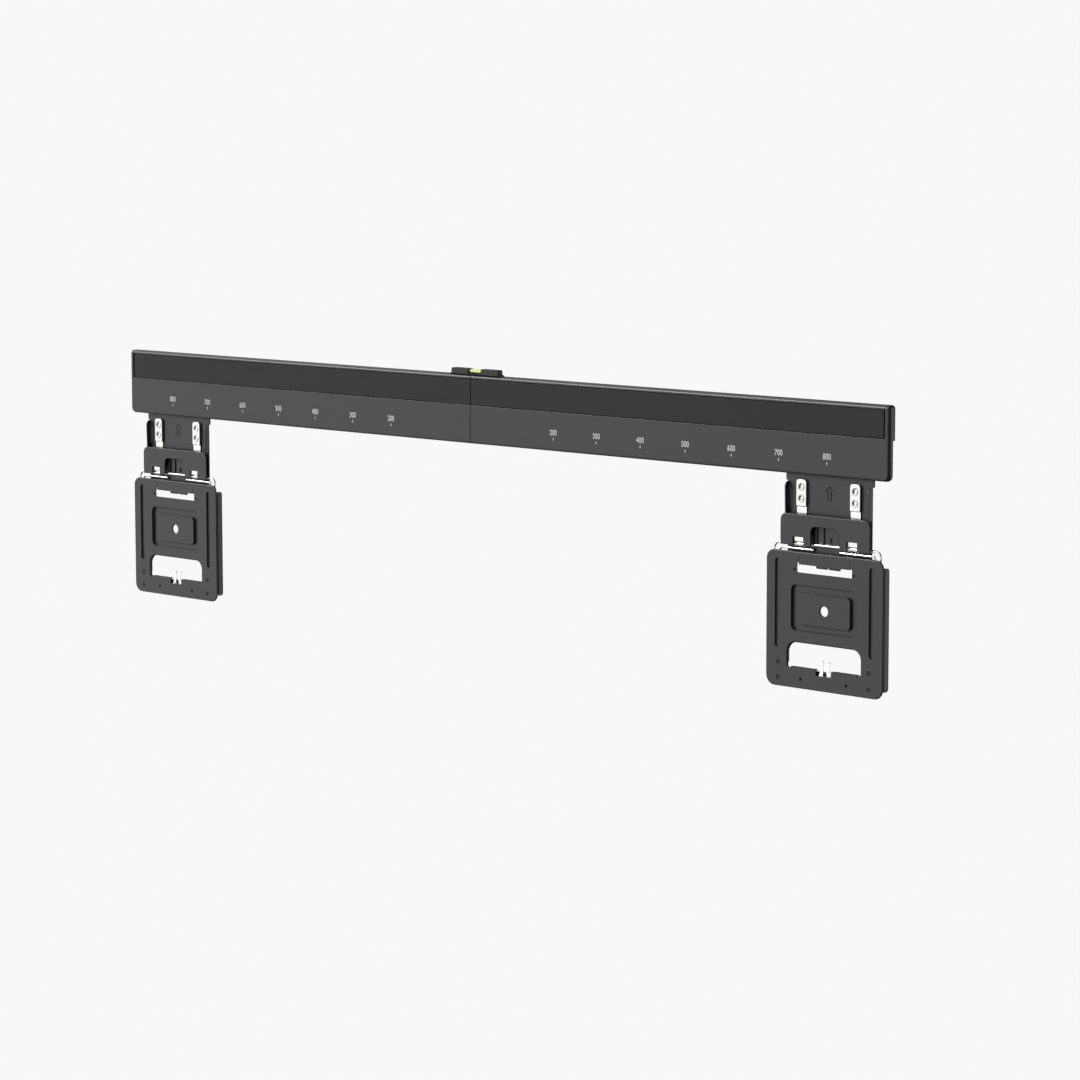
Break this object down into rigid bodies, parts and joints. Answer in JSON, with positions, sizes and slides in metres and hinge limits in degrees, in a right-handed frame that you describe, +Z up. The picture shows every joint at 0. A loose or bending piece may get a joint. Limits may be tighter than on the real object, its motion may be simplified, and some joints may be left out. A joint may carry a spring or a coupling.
{
  "type": "slim television wall mount",
  "caption": "Slim wall rail with a clip-on spirit level and sliding brackets that hook on, tilt about a wire bail and prop out on a fold-out kickstand.",
  "frame": {"origin": "centre of the rail joiner's back face, on the wall plane", "axes": "+X along the rail to the right as seen from the room, +Y into the wall, +Z up"},
  "size_m": [0.925, 0.0078, 0.2338],
  "materials": {
    "black_steel": "satin black powder coat on steel",
    "cover_band": "matt black moulded plastic",
    "black_plastic": "fine-grained black plastic",
    "nickel": "bright nickel plate on steel",
    "vial": "clear vial of yellow-green fluid"
  },
  "bodies": {
    "wall_rail": {"rail_left": "black_steel", "rail_right": "black_steel", "rail_joiner": "black_steel", "cover_strip_left": "cover_band", "cover_strip_right": "cover_band", "joiner_screw_upper_left": "nickel", "joiner_screw_lower_left": "nickel", "joiner_screw_upper_right": "nickel", "joiner_screw_lower_right": "nickel"},
    "level": {"level_housing": "black_plastic", "level_vial": "vial", "level_magnet_left": "nickel", "level_magnet_right": "nickel"},
    "hanger_left": {"hanger_plate_left": "black_steel", "bridge_plate_left": "black_steel", "stop_tongue_left": "black_steel", "tongue_rivet_left": "black_steel", "clamp_plate_west_left": "nickel", "hinge_strap_west_left": "nickel", "strap_rivet_upper_west_left": "nickel", "strap_rivet_lower_west_left": "nickel", "clamp_plate_east_left": "nickel", "hinge_strap_east_left": "nickel", "strap_rivet_upper_east_left": "nickel", "strap_rivet_lower_east_left": "nickel"},
    "tv_plate_left": {"tv_plate_left": "black_steel", "wire_bail_left": "nickel", "spring_clip_left": "nickel", "bail_saddle_west_left": "black_steel", "spacer_west_left": "black_plastic", "kickstand_pin_west_left": "nickel", "bail_saddle_east_left": "black_steel", "spacer_east_left": "black_plastic", "kickstand_pin_east_left": "nickel"},
    "kickstand_left": {"kickstand_left": "black_steel"},
    "hanger_right": {"hanger_plate_right": "black_steel", "bridge_plate_right": "black_steel", "stop_tongue_right": "black_steel", "tongue_rivet_right": "black_steel", "clamp_plate_west_right": "nickel", "hinge_strap_west_right": "nickel", "strap_rivet_upper_west_right": "nickel", "strap_rivet_lower_west_right": "nickel", "clamp_plate_east_right": "nickel", "hinge_strap_east_right": "nickel", "strap_rivet_upper_east_right": "nickel", "strap_rivet_lower_east_right": "nickel"},
    "tv_plate_right": {"tv_plate_right": "black_steel", "wire_bail_right": "nickel", "spring_clip_right": "nickel", "bail_saddle_west_right": "black_steel", "spacer_west_right": "black_plastic", "kickstand_pin_west_right": "nickel", "bail_saddle_east_right": "black_steel", "spacer_east_right": "black_plastic", "kickstand_pin_east_right": "nickel"},
    "kickstand_right": {"kickstand_right": "black_steel"}
  },
  "joints": [
    {"name": "level_lift", "type": "slide", "parent": "wall_rail", "child": "level", "axis": [0, 0, 1], "range_m": [0, 0.03]},
    {"name": "bracket_slide_left", "type": "slide", "parent": "wall_rail", "child": "hanger_left", "axis": [1, 0, 0], "range_m": [-0.0165, 0.2985]},
    {"name": "plate_tilt_left", "type": "hinge", "parent": "hanger_left", "child": "tv_plate_left", "pos_m": [-0.3985, -0.0042, -0.0998], "axis": [-1, 0, 0], "range_deg": [0, 15]},
    {"name": "kickstand_fold_left", "type": "hinge", "parent": "tv_plate_left", "child": "kickstand_left", "pos_m": [-0.3985, -0.0036, -0.114], "axis": [1, 0, 0], "range_deg": [0, 30]},
    {"name": "bracket_slide_right", "type": "slide", "parent": "wall_rail", "child": "hanger_right", "axis": [1, 0, 0], "range_m": [-0.2985, 0.0165]},
    {"name": "plate_tilt_right", "type": "hinge", "parent": "hanger_right", "child": "tv_plate_right", "pos_m": [0.3985, -0.0042, -0.0998], "axis": [-1, 0, 0], "range_deg": [0, 15]},
    {"name": "kickstand_fold_right", "type": "hinge", "parent": "tv_plate_right", "child": "kickstand_right", "pos_m": [0.3985, -0.0036, -0.114], "axis": [1, 0, 0], "range_deg": [0, 30]}
  ]
}
